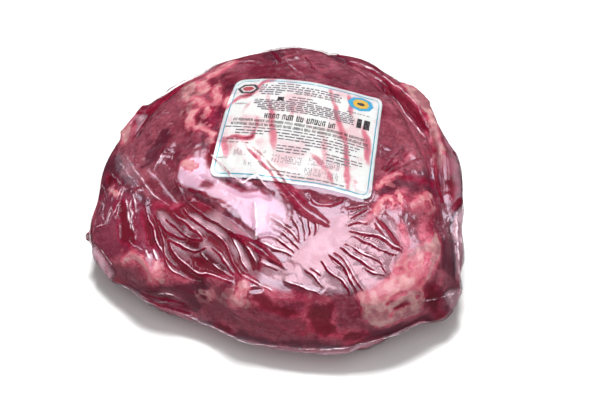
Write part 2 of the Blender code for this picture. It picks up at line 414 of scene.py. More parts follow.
# Pale membrane over the muscle, partly a painted sheen: it lightens the place where the soft box is mirrored.
PALE_MEMBRANE_AND_SHEEN = {
    "left of and under the label":
        "180,165 188,159 202,158 213,164 222,172 236,179 254,185 272,194 286,210 284,230 270,248 259,238 246,221 "
        "232,208 214,197 196,190 184,188 179,178",
}
FAT_HOLES = {
    "slits and arcs in the sheet":
        "394,309 400,304 407,301 409,305 401,308 / 387,303 395,295 405,292 405,294 396,297 389,304 / 417,283 "
        "424,272 427,262 429,263 426,274 419,285 / 426,254 430,255 429,264 426,272 424,268",
    "small holes":
        "395,272 400,267 403,269 400,274 / 408,264 412,263 413,268 410,269 / 390,314 393,314 393,317 390,317 / "
        "416,296 419,295 420,298 417,299 / 423,203 428,202 430,208 426,211",
}
# Dark red juice in the hollows, partly painted shade: under the label's edge, between the pleats, in the shoulder.
JUICE_AND_SHADE_POOLS = {
    "under the long pleats":
        "150,204 176,204 190,198 207,203 227,214 243,228 255,243 263,256 262,272 254,284 240,279 204,282 172,277 "
        "156,256",
    "front":
        "302,309 311,302 321,305 332,301 337,313 335,323 340,337 322,338 311,328 302,320 / 270,299 281,306 "
        "294,310 306,311 306,318 290,318 275,309 / 250,295 262,293 270,299 279,311 268,310 256,303 / 214,324 "
        "226,322 236,332 224,334 / 330,334 350,330 372,334 352,341 / 139,291 156,296 176,298 190,306 180,312 "
        "158,306 144,299 / 140,292 158,290 182,296 176,311 156,306",
    "front right": "425,285 436,282 442,296 439,313 429,316 424,302 / 392,311 398,303 408,299 411,306 401,311",
    "right":
        "382,79 400,89 418,104 431,119 435,138 425,133 408,113 390,97 / 399,172 416,175 434,180 434,186 415,182 "
        "400,178 / 444,156 449,158 452,174 450,180 446,168 / 440,134 445,148 450,170 453,192 450,214 445,196 "
        "443,165 / 383,169 398,159 407,152 409,156 398,165 385,173",
    "round the label":
        "225,179 236,180 246,184 258,187 256,192 246,192 234,188 / 257,187 265,189 271,196 262,195 / 199,179 "
        "207,177 216,182 214,187 204,186 / 214,140 222,150 213,176 205,168 206,150 / 203,108 214,106 219,120 "
        "212,128 206,118",
    "left":
        "112,206 124,198 134,210 138,234 132,248 118,240 112,224 / 142,204 150,216 156,240 154,252 146,240 "
        "140,220 / 106,172 118,176 122,186 108,184 / 137,122 156,103 183,81 190,79 186,86 161,107 143,124 / "
        "131,142 134,124 142,112 146,116 137,128 134,142",
}
SILVER_SKIN = {
    "front":
        "186,303 215,298 238,314 264,322 300,332 340,336 340,350 300,348 250,340 205,324 / 368,316 400,318 "
        "432,304 456,296 456,318 420,334 376,342",
    "right":
        "434,151 449,148 455,170 459,195 452,215 442,202 437,178 / 440,205 456,214 462,250 460,296 444,296 "
        "444,250",
    "left": "100,200 118,196 122,232 120,262 104,262 94,240 / 112,264 128,268 146,282 146,300 124,290 110,276",
}

# Grooves and, with a depth below nought, swellings, which the film follows: half width and depth in mm.
GROOVES = {
    "bulge of the right side": (11, -5, "449,160 454,175 456,192 455,208"),
    "lower right corner": (9, -5, "450,318 455,306 456,294"),
    "lower left corner": (7, -2.8, "98,260 106,273 114,282"),
    "foot, right": (8, 3, "364,348 382,342 400,337 420,330"),
    "foot, left": (6, 2.4, "120,289 134,297 148,304 164,311"),
    "nugget, right": (4, -1.6, "419,202 423,204 427,207"),
    "left knob": (2.8, -1.8, "123,262 133,254 143,258 150,268 154,277"),
    "fat sheet": (6, -1.3, "434,240 435,256 424,275 404,288 376,300"),
    "shoulder strip": (3, -2, "404,89 416,93 427,106 434,125 440,148 443,172 445,198"),
    "shoulder flap": (2.2, -1.8, "404,85 414,84 424,89 431,98"),
    "left of the shoulder strip": (1.7, 2.2, "384,84 401,101 416,114 428,133 434,153 436,173 438,190"),
    "flap at the left edge": (2.2, -3.2, "142,106 134,108 128,119 123,134"),
    "knob under the pleats": (2.4, -1.3, "243,280 244,290 237,300"),
    "strand under the label": (1.8, -1, "384,200 377,212 366,221"),
    "below the label": (2.6, 2, "222,180 232,185 245,191 254,190"),
    "below the label, right": (2.2, 1.6, "256,187 262,191 269,195"),
    "spot in the membrane": (2.2, 1.3, "201,179 208,182 215,185"),
    "above the long pleat": (3, 2.4, "196,200 209,206 223,215 237,225 247,235 255,246"),
    "right of the label": (3, 0.7, "396,176 408,176 420,177 432,180"),
    "inside the shoulder": (2.4, 2.4, "386,90 402,100 414,112 424,124"),
    "top left": (3, 1.4, "176,150 172,158 176,166"),
}

# Where the film stands off the meat, as between a bulge and the table or in a fold: the gap in mm, and how milky
# it is there. On the facets among the pleats the milk is a painted highlight, over the fan partly a painted sheen.
FILM_WEBS_AND_SHEEN = {
    "right side": (4.5, 0.36, "451,222 457,206 468,210 468,244 464,262 458,246 453,240"),
    "right side, lower": (3, 0.24, "455,246 466,244 466,300 458,300 455,276"),
    "lower right corner": (2.4, 0.36, "444,293 458,287 464,294 458,312 442,322 436,318 446,306"),
    "lower left": (4.5, 0.42, "95,245 103,254 115,272 109,278 100,268 94,256"),
    "top left": (3, 0.34, "137,137 138,118 148,117 142,128"),
    "front left": (1.4, 0.03, "134,288 150,291 168,289 184,297 178,308 164,303 150,304"),
    # Painted highlights: pale milk on facets that catch the soft box.
    "facet under the long pleat": (0.4, 0.34, "189,215 201,217 215,226 228,237 221,237 206,229 194,222"),
    "facet under the bar": (0.4, 0.3, "170,241 182,243 195,249 206,251 200,256 188,253 175,248"),
    "facet in the arch": (0.4, 0.34, "232,236 241,245 247,256 251,268 245,268 239,258 233,248"),
    "facet beside the outer pleat": (0.4, 0.26, "160,212 168,216 178,226 186,236 177,235 166,228 160,220"),
    "facet low in the pleats": (0.4, 0.2, "203,240 212,246 222,256 230,268 222,264 210,254 201,247"),
    "hem, right": (0.5, 0.42,
        "352,346 380,341 406,328 430,321 446,313 455,306 460,312 440,329 410,339 382,349 352,353"),
    "hem, middle": (0.3, 0.3, "182,314 210,325 250,340 300,348 350,348 352,353 300,353 250,347 205,332 178,320"),
    "hem, left": (0.3, 0.18,
        "110,278 123,288 133,288 139,293 150,301 160,306 180,311 178,318 158,313 140,302 120,296 104,284"),
    # Partly painted sheen: a pale haze over the fan, where the soft box is mirrored.
    "fan": (0, 0.27,
        "318,222 350,214 384,218 402,236 404,252 388,272 368,290 330,292 296,284 272,280 262,270 272,262 290,258"),
    "left flank": (0, 0.06, "118,152 128,158 140,176 136,188 124,180 116,166"),
    "beside the shoulder strip": (0, 0.12, "440,132 446,142 456,172 458,196 450,214 450,186 444,156"),
}


def groove_depth(points):
    """How far the grooves sink the skin at each point, in mm."""
    depth = np.zeros(len(points))
    for width, deep, pixels in each_run(GROOVES.values()):
        depth += deep * np.exp(-((line_gap(points, curve_through(pixels))[0] / width) ** 2))
    return depth


meat = skin.copy()
meat_co, meat_no = places(meat)
fat = deepest(meat_co, FAT_PATCHES) + 1.8 * unevenness(meat_co, 4, 1)
blotches = 13 * (unevenness(meat_co * (1, 0.6, 1), 6, 9) + 0.6 * unevenness(meat_co, 2.6, 10)) - 1.4
fat = np.maximum(fat, np.minimum(blotches, deepest(meat_co, MARBLED)))
fat = np.minimum(fat, -deepest(meat_co, FAT_HOLES))
juice_and_shade = deepest(meat_co, JUICE_AND_SHADE_POOLS) + 4 * unevenness(meat_co, 12, 13) + 2 * unevenness(meat_co, 4, 14)

# Away from the shown side the knife left the same kind of patches, so noise lays them there.
shown = ease(meat_no @ np.array(VIEW_BACK), -0.05, 0.25)
strewn = 14 * (unevenness(meat_co, 34, 2) + 0.7 * unevenness(meat_co, 8, 3) - 0.34)
fat = np.maximum(fat, strewn - 20 * shown)
strewn = 14 * (unevenness(meat_co, 26, 4) + 0.6 * unevenness(meat_co, 7, 5) - 0.3)
juice_and_shade = np.maximum(juice_and_shade, strewn - 12 * shown)

marks = {
    "fat": fat,
    "juice_and_shade": juice_and_shade,
    "silver": deepest(meat_co, SILVER_SKIN) + 3 * unevenness(meat_co, 9, 8),
    "grey": deepest(meat_co, GREY_FAT),
    "pale_and_sheen": deepest(meat_co, PALE_MEMBRANE_AND_SHEEN) + 2.5 * unevenness(meat_co, 8, 12),
    "dark": deepest(meat_co, DARK_MUSCLE_AND_SHADE) + 4 * unevenness(meat_co, 10, 15) + 2 * unevenness(meat_co, 4, 16),
}
# Each depth becomes a share, 0.5 at the patch's edge.
marks = {name: np.clip(0.5 + depth / MARK_REACH / 2, 0, 1) for name, depth in marks.items()}

grain = unevenness(meat_co, 15, 6) + unevenness(meat_co, 5, 7) * 0.35
rise = -MEAT_INSET + 0.2 * grain + FAT_THICKNESS * ease(fat, -0.5, 2) - 0.5 * ease(juice_and_shade, 0, 4)
rise = np.minimum(rise, 0.1) - groove_depth(meat_co)
for gap, _, outline in each_run(FILM_WEBS_AND_SHEEN.values()):
    rise -= gap * ease(depth_in(meat_co, outline), -2, 2.5)
rise[meat_co[:, 2] < 0.5] = -0.1
meat_places = meat_co + meat_no * rise[:, None]
meat_places[:, 2] = np.maximum(meat_places[:, 2], 0.05)
meat_mesh = finish_mesh("meat", meat, meat_places, marks)

SMOOTH = {"interpolation_type": "SMOOTHSTEP"}


def mottling(tree, size, detail=2.0, roughness=0.5, stretch=(1, 1, 1)):
    """Noise fixed to the piece, its features about size mm across and drawn out by stretch along each axis."""
    place = add_node(tree, "TexCoord")["Object"]
    place = add_node(tree, "Mapping", {}, place, Scale=[1 / MM / s for s in stretch])[0]
    return add_node(tree, "TexNoise", Vector=place, Scale=1 / size, Detail=detail, Roughness=roughness)[0]


def scaled(tree, value, *waves):
    """A value times factors, each going from its least to its most as a wave goes from low to high."""
    for wave, low, high, *ends in waves:
        factor = add_node(tree, "MapRange", SMOOTH, wave, low, high, *(ends or (0.0, 1.0)))[0]
        value = add_node(tree, "Math", "MULTIPLY", value, factor)[0]
    return value


def blended(tree, value, *others):
    """A value with others added to it, each times its weight."""
    for other, weight in others:
        value = add_node(tree, "Math", "ADD", value, add_node(tree, "Math", "MULTIPLY", other, weight)[0])[0]
    return value


def layered(tree, colour, *layers):
    """A colour with others laid over it, as hex or as sockets.

    A layer has its share and colour, or a wave, its low and high, the share above them if not 1, and its colour.
    """
    for share, *edge, other in layers:
        if edge:
            low, high, top = (*edge, 1.0)[:3]
            share = scaled(tree, top, (share, low, high))
        mixed = [linear(c) if isinstance(c, str) else c for c in (colour, other)]
        colour = add_node(tree, "Mix", {"data_type": "RGBA"}, share, *[None] * 5, *mixed)[2]
    return colour


def frayed(tree, mark, *waves):
    """A stored mark with its edge broken up by noises, each given with its reach in shares of the mark."""
    edge = add_node(tree, "Attribute", {"attribute_name": mark})["Fac"]
    return blended(tree, edge, *[(add_node(tree, "Math", "SUBTRACT", w, 0.5)[0], reach) for w, reach in waves])


def veins(tree, wave, width, share):
    """Thin lines along which a noise passes its middle value, fading over this much of its range."""
    gap = add_node(tree, "Math", "ABSOLUTE", add_node(tree, "Math", "SUBTRACT", wave, 0.5)[0])[0]
    return scaled(tree, share, (gap, 0.0, width, 1.0, 0.0))


# Raw beef, knife cut and wet: dull purple red muscle with a fine grain, cream to pink fat, greyish silver skin,
# and dark red juice that lies deepest low on the front, partly painted shade in the hollows. Low on the front
# the muscle is also painted a brighter crimson, partly juice and partly painted light for the dim lower front.
LOW_JUICE_AND_PAINTED_FILL = (15 * MM, 60 * MM)

meat_wet, tree = new_material("raw beef, knife cut")
height = add_node(tree, "SeparateXYZ", {}, add_node(tree, "TexCoord")["Object"])["Z"]
broad = mottling(tree, 24, 3)
clots = mottling(tree, 12, 4, 0.65, stretch=(1.6, 1, 1))
mid = mottling(tree, 7, 4, 0.6)
small = mottling(tree, 3, 3, 0.6)
fine = mottling(tree, 1.6, 3, 0.6)
fibre = mottling(tree, 1.1, 2, stretch=(7, 1, 2.5))

silver_tone = layered(tree, "#6e303e", (small, 0.35, 0.65, "#96606c"))
pale_and_sheen_tone = layered(tree, "#c39bb0", (broad, 0.4, 0.6, "#d6b4c4"))
juice_and_shade_tone = layered(tree, "#74082a", (frayed(tree, "juice_and_shade", (mid, 0.9), (small, 0.3)), 0.66, 0.98, "#560416"))
muscle = layered(
    tree, "#86223c",
    (broad, 0.38, 0.62, "#b25a6c"),
    (clots, 0.5, 0.62, 0.75, "#740e2a"),
    (mid, 0.5, 0.7, 0.75, "#5e1428"),
    (fibre, 0.5, 0.72, 0.24, "#b8707e"),
    # Partly painted light: low down the muscle turns a brighter crimson, juice and a lift for the dim lower front.
    (scaled(tree, 1.0, (height, *LOW_JUICE_AND_PAINTED_FILL, 0.92, 0.0), (mid, 0.3, 0.5, 0.45, 1.0)), "#c23a58"),
    (small, 0.52, 0.7, 0.36, "#5c142c"),
    (small, 0.48, 0.3, 0.3, "#b8808a"),
    (frayed(tree, "silver", (mid, 1.6), (small, 0.5)), 0.4, 0.75, 0.42, silver_tone),
    (veins(tree, mid, 0.035, 0.6), "#560a1e"),
    # Partly painted shade: darker in valleys, inside the shoulder, low along the base and on the sides.
    (frayed(tree, "dark", (mid, 0.9), (small, 0.6)), 0.38, 0.9, 0.75, "#58122a"),
    # Partly painted sheen: pale where the soft box is mirrored.
    (frayed(tree, "pale_and_sheen", (mid, 0.3), (fine, 0.1)), 0.42, 0.62, 0.9, pale_and_sheen_tone),
    # Dark red juice, partly painted shade in the hollows.
    (frayed(tree, "juice_and_shade", (mid, 0.8), (small, 0.25)), 0.34, 0.85, 0.92, juice_and_shade_tone),
)
greyed = scaled(tree, 0.85, (frayed(tree, "grey", (mid, 0.8), (small, 0.4)), 0.35, 0.7))
grey_tone = layered(tree, "#a38a84", (mid, 0.38, 0.64, "#745458"), (fibre, 0.5, 0.7, 0.5, "#8c4c52"))
core_tone = layered(tree, "#b08183", (mid, 0.42, 0.6, "#a25a65"))
fat_tone = layered(
    tree, "#a03c50",
    (frayed(tree, "fat", (mid, 0.5), (small, 0.4)), 0.48, 0.74, core_tone),
    (small, 0.55, 0.72, 0.6, "#a8384e"),
    (veins(tree, small, 0.03, 0.5), "#a83850"),
    (greyed, grey_tone),
)
thinned = blended(tree, 1.0, (greyed, -0.35))
fatty = scaled(tree, thinned, (frayed(tree, "fat", (mid, 0.7), (small, 0.85)), 0.46, 0.62))
relief = blended(tree, small, (fine, 0.6), (fibre, 0.5))
cover(
    tree, Base_Color=layered(tree, muscle, (fatty, fat_tone)), Roughness=0.5, IOR=1.38,
    Normal=add_node(tree, "Bump", Strength=0.45, Distance=0.8 * MM, Height=relief)[0],
    Subsurface_Weight=0.12, Subsurface_Radius=(3 * MM, 1 * MM, 0.8 * MM), Subsurface_Scale=1,
)

meat_piece = new_piece("meat", meat_mesh, meat_wet)
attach(meat_piece, "root")
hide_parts("sealed_pack")


# Label: a sheet of coated paper, laid on the meat before the bag was shrunk, so it follows the top and juice
# has run over it in streaks.

LABEL_WIDTH, LABEL_HEIGHT, LABEL_CORNER = 102, 78, 6
LABEL_SPOT = Vector((16, -9, 127))
LABEL_TURN, LABEL_TILT = math.radians(-12), math.radians(14)
LABEL_GAP, PAPER, PAPER_GRID = 0.7, 0.3, 0.75
# The sheet bends down over the right shoulder, which draws its upper right corner in by this much.
SHOULDER_TUCK = 6.0

# Streaks of juice: half width in mm and strength.
JUICE_STREAKS = {
    "off the left sign": (2.2, 0.95, "274,81 262,84 252,94 240,99 232,104 226,111"),
    "second arc": (2, 0.45, "262,94 254,100 246,108 243,114"),
    "bar at the left": (1.9, 0.95, "258,118 256,130 252,138 243,139 232,138 221,143"),
    "black rows": (1.6, 0.6, "222,137 232,139 244,141 252,143"),
    "drip from the bar": (2.4, 0.7, "223,142 226,150 227,158"),
    "second drip": (1.6, 0.5, "232,142 230,150 228,158"),
    "under the crease": (1.7, 0.8, "246,145 256,156 268,169 280,184 292,197"),
    "beside the loop": (1.4, 0.28, "214,158 222,166 232,176 242,183"),
    "faint, left of the middle": (2.8, 0.6, "268,96 271,110 272,130 274,152"),
    "faint, middle": (2.6, 0.5, "291,101 292,112 290,124"),
    "long band": (2.4, 0.8, "330,91 335,108 340,126 345,146 347,172 348,190"),
    "short band at the top": (1.8, 0.75, "347,95 350,104 351,116"),
    "band near the right edge": (2.6, 0.75, "364,130 368,146 366,165"),
    "slanting band": (2.2, 0.6, "306,147 317,160 327,173 333,186"),
    "right margin": (2.6, 0.75, "383,128 382,142 379,160 376,176"),
    "foot of the right margin": (2.6, 0.5, "377,176 374,188 366,195"),
    "faint, right of the middle": (2.8, 0.4, "320,122 324,140 325,156 324,172"),
    "faint, over the title": (2.6, 0.3, "285,108 300,118 316,132 330,150"),
    "foot, right of the middle": (2.2, 0.45, "352,176 356,186 358,196"),
}

label_pose = Matrix.Translation(LABEL_SPOT) @ Euler((LABEL_TILT, 0, LABEL_TURN)).to_matrix().to_4x4()
label_down = (label_pose.to_3x3() @ Vector((0, 0, -1))).normalized()


def on_label(across, up, above=0.0):
    """The place on the label's face this far from its middle, to the right and up, in mm."""
    across -= SHOULDER_TUCK * (max(across, 0) / LABEL_WIDTH * 2) ** 2 * (up / LABEL_HEIGHT + 0.5)
    hit = skin_tree.ray_cast(label_pose @ Vector((across, up, 0)), label_down)[0]
    return hit - label_down * (LABEL_GAP + PAPER + above)


def rounded(x, y):
    """Moves a point of the square-cornered sheet so that its corners come out round."""
    inner = LABEL_WIDTH / 2 - LABEL_CORNER, LABEL_HEIGHT / 2 - LABEL_CORNER
    a, b = (abs(x) - inner[0]) / LABEL_CORNER, (abs(y) - inner[1]) / LABEL_CORNER
    if a <= 0 or b <= 0:
        return x, y
    round_x = inner[0] + LABEL_CORNER * a * math.sqrt(1 - b * b / 2)
    round_y = inner[1] + LABEL_CORNER * b * math.sqrt(1 - a * a / 2)
    return math.copysign(round_x, x), math.copysign(round_y, y)


paper = bmesh.new()
columns, lines = round(LABEL_WIDTH / PAPER_GRID), round(LABEL_HEIGHT / PAPER_GRID)
bmesh.ops.create_grid(paper, x_segments=columns, y_segments=lines, size=1)
sheet = np.array([rounded(v.co.x * LABEL_WIDTH / 2, v.co.y * LABEL_HEIGHT / 2) for v in paper.verts])
for vertex, (x, y) in zip(paper.verts, sheet.tolist()):
    vertex.co = on_label(x, y, -PAPER)
paper.normal_update()
bmesh.ops.solidify(paper, geom=paper.faces[:], thickness=-PAPER)
bmesh.ops.recalc_face_normals(paper, faces=paper.faces[:])
# The rim's faces come in another order each run, so all are sorted by their first and last corner.
paper.verts.index_update()
count = len(paper.verts)
paper.faces.sort(key=lambda f: min(v.index for v in f.verts) * count + max(v.index for v in f.verts))
paper_co = places(paper)[0]
paper_warped = paper_co + 1.6 * np.stack([unevenness(paper_co, 7, k) for k in (31, 32, 33)], 1)
stained = np.zeros(len(paper_co))
for width, strength, pixels in each_run(JUICE_STREAKS.values()):
    gap, along = line_gap(paper_warped, curve_through(pixels))
    fullness = 0.55 + 0.45 * np.sin(math.pi * along)
    stained = np.maximum(stained, strength * np.exp(-((gap / width) ** 2)) * fullness)
rim_gap = (np.array((LABEL_WIDTH / 2, LABEL_HEIGHT / 2)) - np.abs(sheet)).min(1)
rim = np.resize(np.exp(-rim_gap / 3), len(paper_co))
paper_mesh = finish_mesh("paper_label", paper, paper_co, {"stained": stained, "rim": rim})

# Coated label paper, flexo printed: off-white with a faint blue tint at its rim, pink where juice soaked in.
label_paper, tree = new_material("coated label paper")
cloudy = mottling(tree, 14, 3)
speck = mottling(tree, 1.2, 3)
stain = frayed(tree, "stained", (speck, 0.15), (cloudy, 0.25))
tint = layered(
    tree, "#e6e9e4",
    (cloudy, 0.45, 0.62, 0.75, "#e3bfc2"),
    (frayed(tree, "rim"), 0.25, 0.9, 0.4, "#c4e2e8"),
    (stain, 0.12, 0.5, "#d5808f"),
    (stain, 0.5, 0.9, "#93203a"),
)
bump = add_node(tree, "Bump", Strength=0.2, Distance=0.1 * MM, Height=speck)[0]
cover(tree, Base_Color=tint, Roughness=0.5, Normal=bump)
label_piece = new_piece("paper_label", paper_mesh, label_paper)
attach(label_piece, "root")
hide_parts("label")


# Print on the label: a thin border, rows of small type drawn as plain bars, dotted stamps and two plain signs.
# It is ink on the paper, laid here as very thin solids that follow the sheet.

INK_THICKNESS, INK_LIFT = 0.03, 0.03
INK_COLOURS = {
    "black": "#2c282b", "grey": "#81787f", "teal": "#36a0b8", "red": "#b8303c", "cyan": "#27a9cf",
    "yellow": "#e2b93c", "white": "#e6e2e2",
}
# Rows of type: middle height up the label, start and end across it, height, and for the larger type the width of
# a letter, all in mm, and the ink. Type too small to tell apart is drawn as one grey bar a word.
TYPE_ROWS = [
    (34.4, -22.5, -6.5, 1.2), (32.2, -33, 20, 1.4), (30.1, -33, 21, 1.4), (28, -33, 20, 1.4),
    (26, -33, -17.3, 1.4), (24, -31, -19, 1.3), (26.2, -10.2, 21.5, 1.6, 1, "black"), (22.6, -10.2, 3.1, 1.1),
    (20.4, -12.2, 6.2, 1.2), (18.6, -34, 30, 1.1), (17.1, -34, 31.7, 1.1), (15.6, -34, 32.7, 1.1),
    (14.1, -31, 33, 1.1), (12.6, -31, 33, 1.1), (11.1, -28, 33, 1), (5.9, -25, 22.5, 4.3, 2.5, "black"),
    (1.7, -44, 44, 2.2, 1.35, "black"), (-1.3, -45, 45.5, 2.2, 1.35, "black"), (-3.8, -48, 46, 1),
    (-6, -40.8, -17.3, 1.1), (-6, -14.5, 40, 1.1), (-8, -40.8, -22.3, 1.1), (-8, -12.5, 38, 1.1),
    (-10, -12.5, 34, 1.1), (-12, 5, 39.9, 1.1), (-12.6, -48, -29.6, 1.3, 0.8, "black"),
    (-14.9, -48, -28, 1.3, 0.8, "black"), (-14.6, -12, 9, 1.1), (-16.6, -12, 8, 1.1), (-18.6, -12, 6, 1),
    (-15.8, 19, 43, 1.1), (-17.8, 20, 43, 1.1), (-19.8, 20, 36, 1.1), (-26, -49, -40.8, 1.3, 0.8, "black"),
    (-32.2, -14, 6, 1.1), (-34.4, -8, 34, 1.1), (20.6, 26, 43.5, 1.1, 0.7, "black"),
    (21.4, -45, -34.5, 1, 0.7, "black"), (14.5, -46, -38, 1.6, 1, "grey"),
]
# A word has so many letters, or so many mm of small type. Behind it comes a gap, wider in large type, whose letter
# is two strokes from these heights and widths, in shares of the row's height and of the letter.
WORD_LETTERS, SMALL_WORD, LARGE_TYPE, WORD_GAP, LARGE_GAP = (2, 9), (2.2, 6.5), 2, 0.7, 1.6
STROKE_HEIGHTS, STROKE_WIDTHS = (1, 1, 0.8, 0.9), (0.28, 0.24, 0.2, 0.32)
# Stamps, each a run of dotted strokes: middle height, start, end and height in mm. Their dots stand in columns of
# four, some of them missing, with a wider step here and there.
STAMPS = [
    (-21.6, -38.0, -17.5, 5.0), (-23.8, -13.0, 5.5, 5.4), (-22.6, 10.0, 29.5, 5.2), (-29.6, 8.5, 29.0, 5.2),
    (-29.0, -30.0, -14.0, 4.0),
]
DOTS, DOT_SHARE, DOT_WIDTHS, DOT_STEP, WIDE_STEP, STEP_SHARE = 4, 0.78, (0.35, 0.6), 1.0, 1.9, 0.75
# Two plain signs, a bold mark and a square: ink, middle across and up, width and height, sides, how finely it is
# cut so that it follows the sheet, and how high it lies on others.
SIGNS = [
    ("black", -40.6, 28.4, 15.0, 10.4, 6, 3), ("white", -40.6, 28.4, 10.4, 6.8, 6, 3, 0.05),
    ("red", -40.6, 28.4, 8.2, 4.6, 6, 3, 0.10), ("cyan", 35.0, 29.4, 19.5, 12.4, 8, 3),
    ("yellow", 35.0, 29.4, 12.4, 8.4, 8, 3, 0.05), ("black", 35.0, 29.2, 6.0, 2.6, 8, 2, 0.10),
    ("black", 36.4, 13.2, 3.4, 7.4, 4, 2), ("black", 41.8, 13.2, 4.4, 7.4, 4, 2),
    ("black", -17.3, 20.6, 4.2, 3.0, 4, 2),
]
BORDER, BORDER_INSET, BORDER_CORNER, CORNER_DOTS = 0.75, 2.4, 4.5, 6

ink = bmesh.new()
shape_mesh = bpy.data.meshes.new("shape")


def stamp(colour, across, up, width, height, sides=4, grain=0, level=0.0):
    """A thin prism of this many sides on the label."""
    radius, turn = (math.sqrt(0.5), math.pi / 4) if sides == 4 else (0.5, math.pi / 2)
    shape = bmesh.new()
    bmesh.ops.create_cone(
        shape, cap_ends=True, segments=sides, radius1=radius, radius2=radius, depth=1,
        matrix=Matrix.Rotation(turn, 4, "Z"),
    )
    if grain:
        poked = bmesh.ops.poke(shape, faces=[f for f in shape.faces if abs(f.normal.z) > 0.5])["faces"]
        edges = list({e for f in poked for e in f.edges})
        bmesh.ops.subdivide_edges(shape, edges=edges, cuts=grain, use_grid_fill=True)
    for vertex in shape.verts:
        above = (vertex.co.z + 0.5) * INK_THICKNESS + INK_LIFT + level
        vertex.co = on_label(across + vertex.co.x * width, up + vertex.co.y * height, above) * MM
    for face in shape.faces:
        face.material_index = list(INK_COLOURS).index(colour)
    shape.to_mesh(shape_mesh)
    shape.free()
    ink.from_mesh(shape_mesh)


def long_bar(colour, start, end, thickness):
    """A straight line of ink in short lengths, which follow the sheet."""
    count = max(1, round(math.dist(start, end) / 4))
    for k in range(count):
        a = [s + (e - s) * k / count for s, e in zip(start, end)]
        b = [s + (e - s) * (k + 1) / count for s, e in zip(start, end)]
        width, height = abs(b[0] - a[0]) or thickness, abs(b[1] - a[1]) or thickness
        stamp(colour, (a[0] + b[0]) / 2, (a[1] + b[1]) / 2, width, height)


draw = np.random.default_rng(7)
for up, start, end, height, *kind in TYPE_ROWS:
    letter, colour = kind or (0, "grey")
    spot = start
    while spot < end:
        word = letter * draw.integers(*WORD_LETTERS) if letter else draw.uniform(*SMALL_WORD)
        word = min(word, end - spot)
        if letter:
            for k in range(max(1, int(word / letter * 2))):
                tall = height * STROKE_HEIGHTS[draw.integers(4)]
                wide = letter * STROKE_WIDTHS[draw.integers(4)]
                shift = (height - tall) / 2 * draw.integers(-1, 2)
                stamp(colour, spot + letter * (k + 0.5) / 2, up + shift, wide, tall)
                if letter > LARGE_TYPE and k % 2 == 0:
                    bar_up = up + height * (0.4, 0.0, -0.4)[draw.integers(3)]
                    stamp(colour, spot + letter * (k + 1) / 2, bar_up, letter * 0.6, height * 0.18)
        else:
            stamp(colour, spot + word / 2, up, word * 0.96, height * draw.uniform(0.75, 1.0))
        spot += word + (LARGE_GAP if letter > LARGE_TYPE else WORD_GAP)
for up, start, end, height in STAMPS:
    spot = start
    while spot < end:
        for k in range(DOTS):
            if draw.uniform() < DOT_SHARE:
                dot_up = up + height * ((k + 0.5) / DOTS - 0.5)
                stamp("grey", spot, dot_up, draw.uniform(*DOT_WIDTHS), height / 5.5)
        spot += DOT_STEP if draw.uniform() < STEP_SHARE else WIDE_STEP

half_width, half_height = LABEL_WIDTH / 2 - BORDER_INSET, LABEL_HEIGHT / 2 - BORDER_INSET
straight_x, straight_y = half_width - BORDER_CORNER, half_height - BORDER_CORNER
for side in (-1, 1):
    long_bar("teal", (side * half_width, -straight_y), (side * half_width, straight_y), BORDER)
    long_bar("teal", (-straight_x, side * half_height), (straight_x, side * half_height), BORDER)
    for up_side in (-1, 1):
        for k in range(CORNER_DOTS):
            angle = math.pi / 2 * (k + 0.5) / CORNER_DOTS
            x = side * (straight_x + BORDER_CORNER * math.cos(angle))
            stamp("teal", x, up_side * (straight_y + BORDER_CORNER * math.sin(angle)), 0.9, 0.9, sides=8)
for sign in SIGNS:
    stamp(*sign)
bmesh.ops.recalc_face_normals(ink, faces=ink.faces[:])
ink_mesh = bpy.data.meshes.new("label_print")
ink.to_mesh(ink_mesh)
ink.free()

# Printing ink: thin and a little worn, so the paper greys it in specks.
inks = []
for name, shade in INK_COLOURS.items():
    ink_film, tree = new_material("printing ink, " + name)
    worn = layered(tree, shade, (mottling(tree, 0.9, 2), 0.45, 0.75, 0.45, "#b9b2b4"))
    cover(tree, Base_Color=worn, Roughness=0.45)
    inks.append(ink_film)
ink_piece = new_piece("label_print", ink_mesh, *inks)
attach(ink_piece, "root")
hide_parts("label")


# Film: a clear multilayer bag, shrunk in hot water until it gripped the meat. Where there was too much of it,
# it stands in sharp pleats and fans of creases, and their crests and valleys catch or lose the soft box.

FILM_GAP = 0.16
LABEL_CLEARANCE, RIM_STEPS = 1.2, 30
PUCKER_HEIGHT = 0.22
# A crest's milky line, about this many mm either side, and the milk on crinkle crests are partly painted
# highlights.
CREST_WIDTH = 0.66
HEM_WEB, HEM_HEIGHT = 0.3, 4.5
CRINKLE_MILK_AND_HIGHLIGHT = 0.4
# So many of the film's faces, the nearest to a crease, are cut finer. A crease is felt this many mm around it,
# and a dark line of juice, partly painted shade, this many.
FINE_FACES, CREASE_REACH, THREAD_REACH = 9300, 12, 8
# Juice creeps along the near side of a crease in a dark line, partly painted shade on the crease's flank: its
# strength, its half width for a crease 1 mm wide, and how many pixels it lies beside the crest.
WICK_AND_SHADE_STRENGTH, WICK_AND_SHADE_WIDTH, WICK_AND_SHADE_SHIFT = 0.9, 0.5, (-0.9, 1.5)
# Between two creases of the fan that start within this many pixels runs a finer one, with its own dark line of
# juice and painted shade.
FAN_STEP, FAN_FINE, FAN_JUICE_AND_SHADE_THREAD = 20, (0.8, 0.8, 0.4), (0.25, 0.4)
